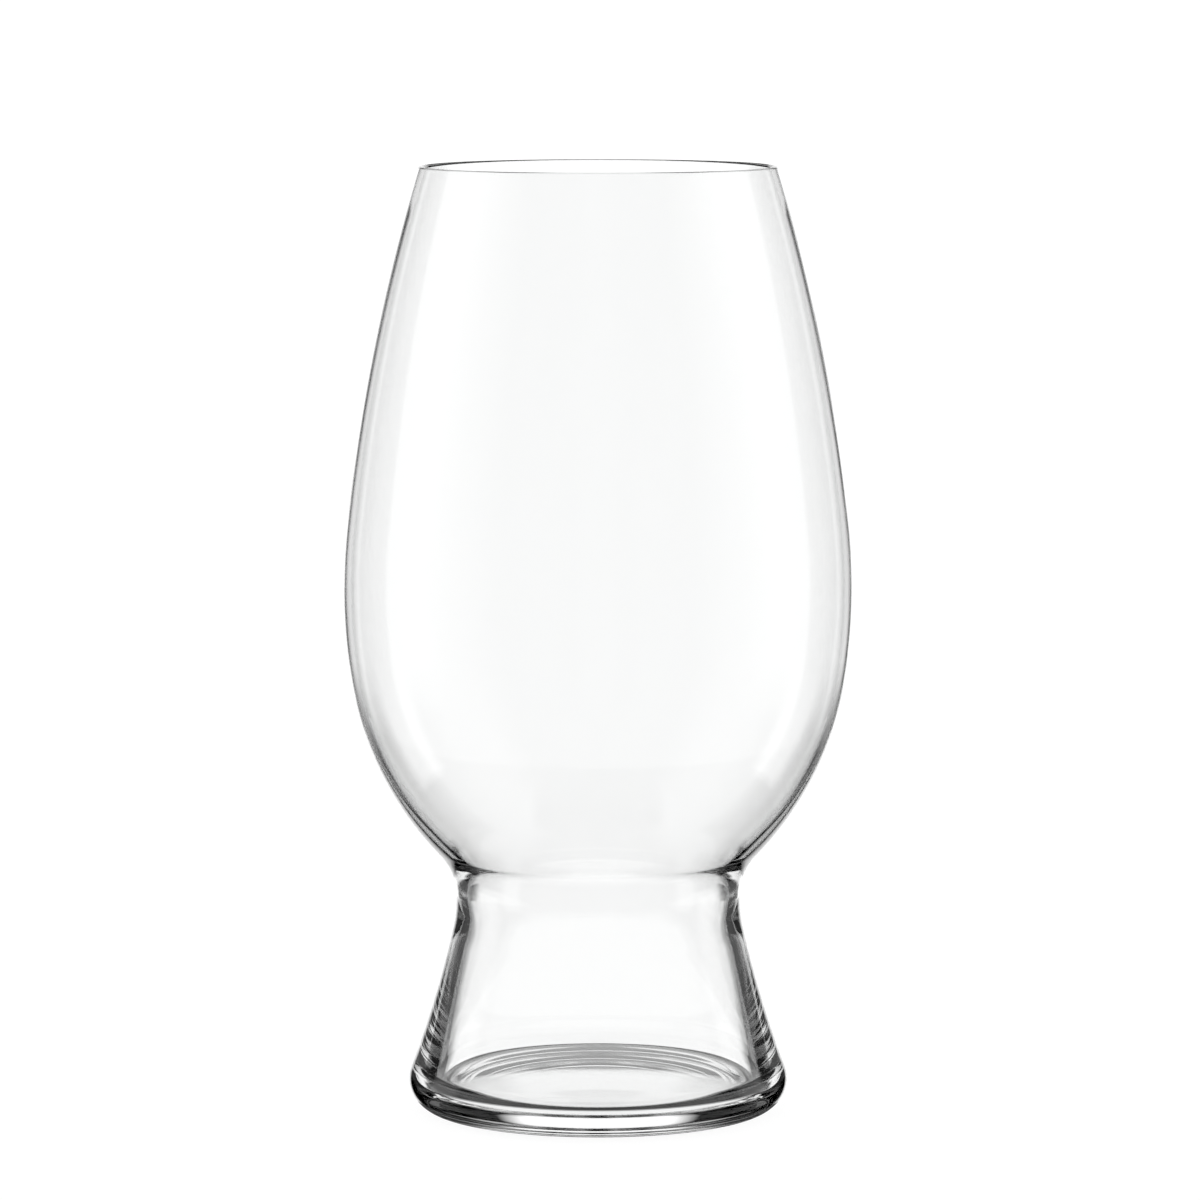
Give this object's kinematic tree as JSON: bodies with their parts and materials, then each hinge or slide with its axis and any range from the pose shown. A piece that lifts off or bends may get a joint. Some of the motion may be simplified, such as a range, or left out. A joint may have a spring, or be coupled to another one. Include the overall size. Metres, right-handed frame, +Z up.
{
  "type": "wheat beer glass",
  "caption": "Clear wheat beer glass: a tall thin-walled tulip bowl that narrows to a waist, fused to a heavy hollow flared foot it stands on.",
  "frame": {"origin": "on the table, at the centre of the foot's standing ring", "axes": "+Z up along the glass's axis of symmetry, from the foot to the rim; X and Y are alike because the glass is turned"},
  "size_m": [0.0932, 0.0932, 0.174],
  "materials": {
    "clear_glass": "clear, fire-polished"
  },
  "bodies": {
    "root": {"bowl": "clear_glass", "foot": "clear_glass"}
  },
  "joints": []
}
